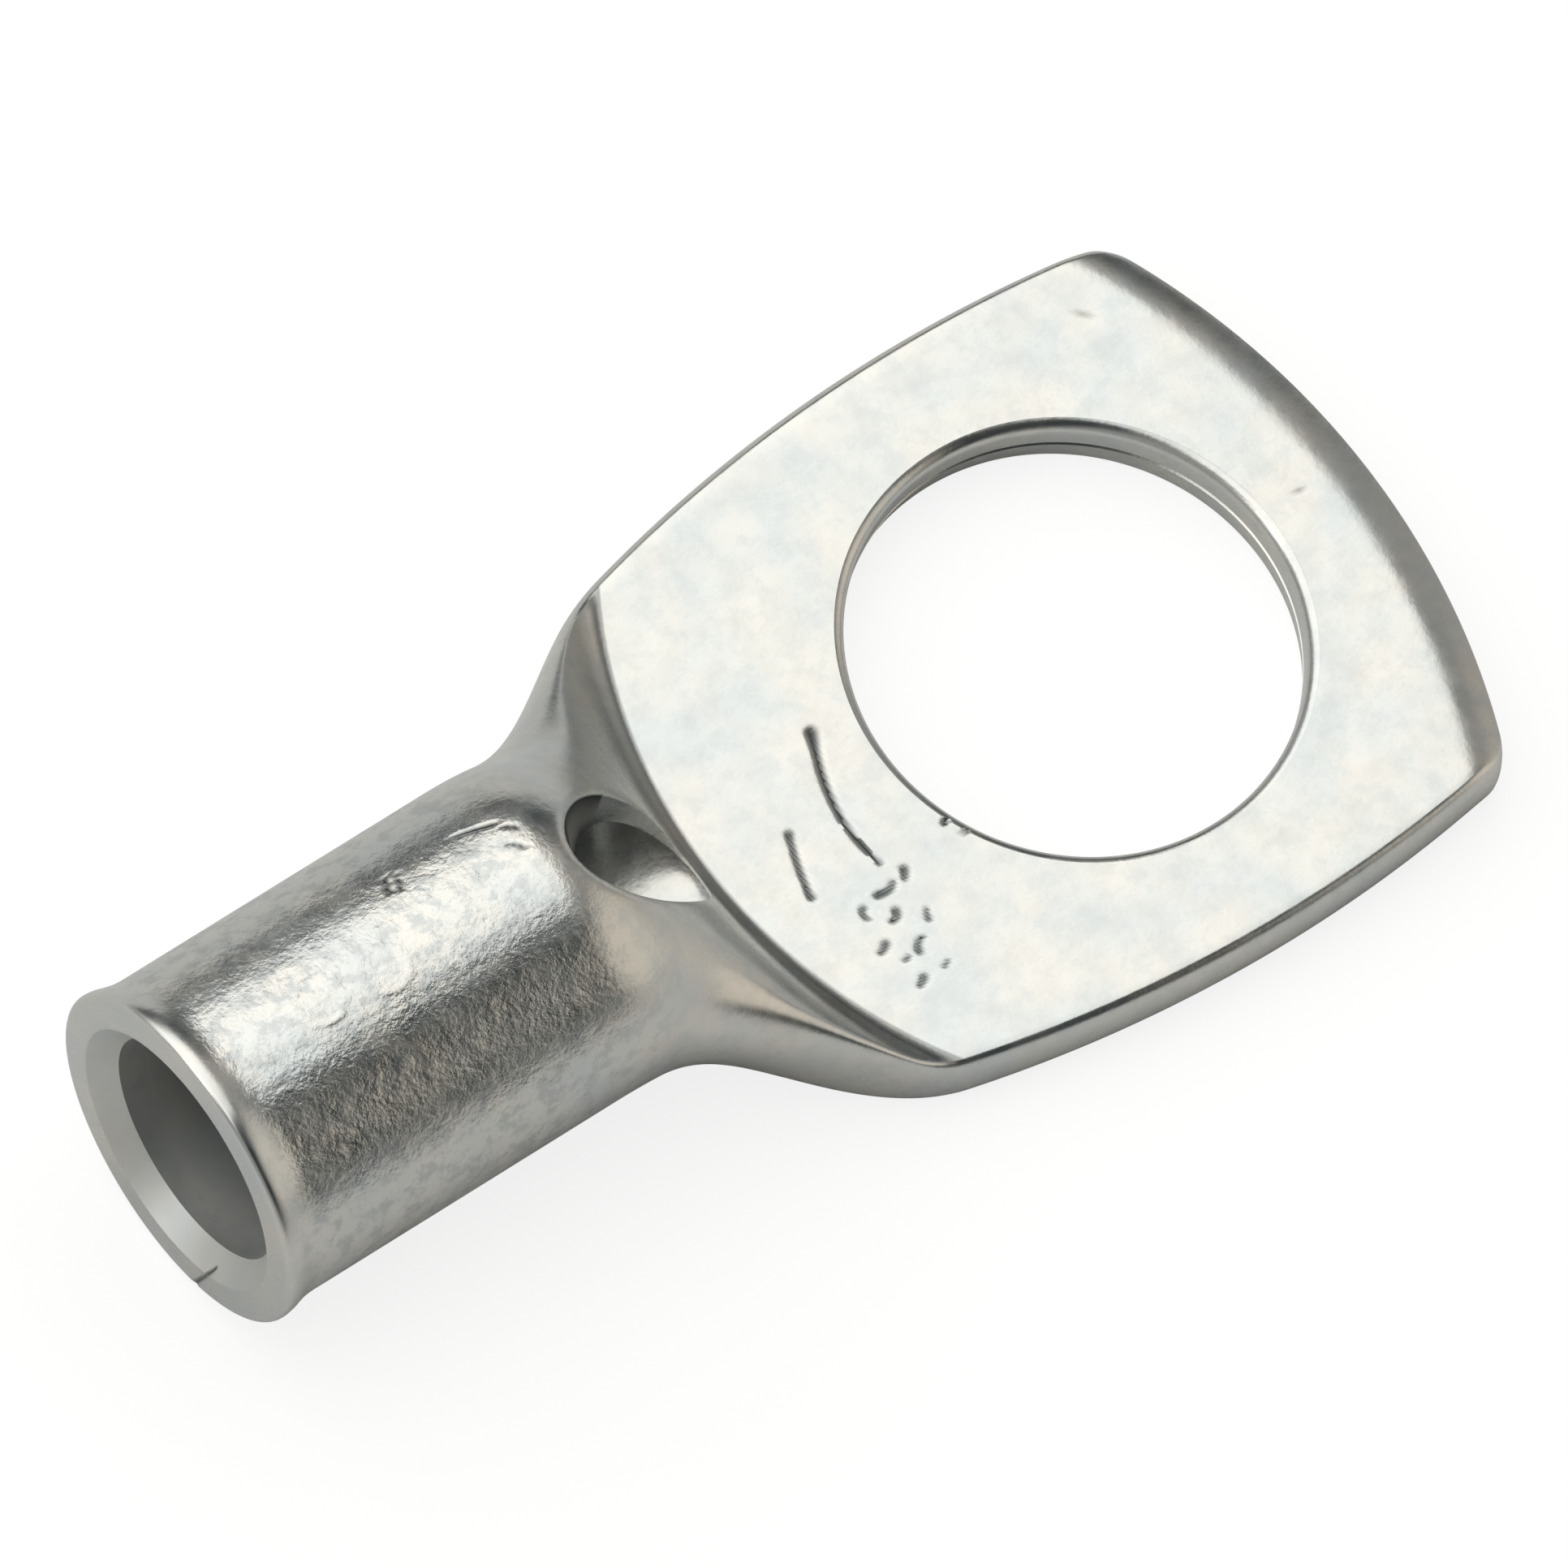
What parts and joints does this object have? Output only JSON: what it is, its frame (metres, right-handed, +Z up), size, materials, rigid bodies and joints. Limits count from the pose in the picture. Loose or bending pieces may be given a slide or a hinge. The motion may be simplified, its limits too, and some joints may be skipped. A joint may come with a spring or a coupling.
{
  "type": "tubular cable lug",
  "caption": "Tubular crimp lug with a round barrel for the conductor, an inspection hole in the pressed shoulder and a flat palm with a stud hole.",
  "frame": {"origin": "bottom centre of the lug's box, on the surface that the palm lies on", "axes": "+X from the barrel's mouth to the palm's tip, +Z up from the palm's underside, +Y across the palm"},
  "size_m": [0.042, 0.0206, 0.0104],
  "materials": {
    "tinned_copper": "matt electro-tinned copper, pale grey and softly grainy"
  },
  "bodies": {
    "root": {"tubular_cable_lug": "tinned_copper"}
  },
  "joints": []
}
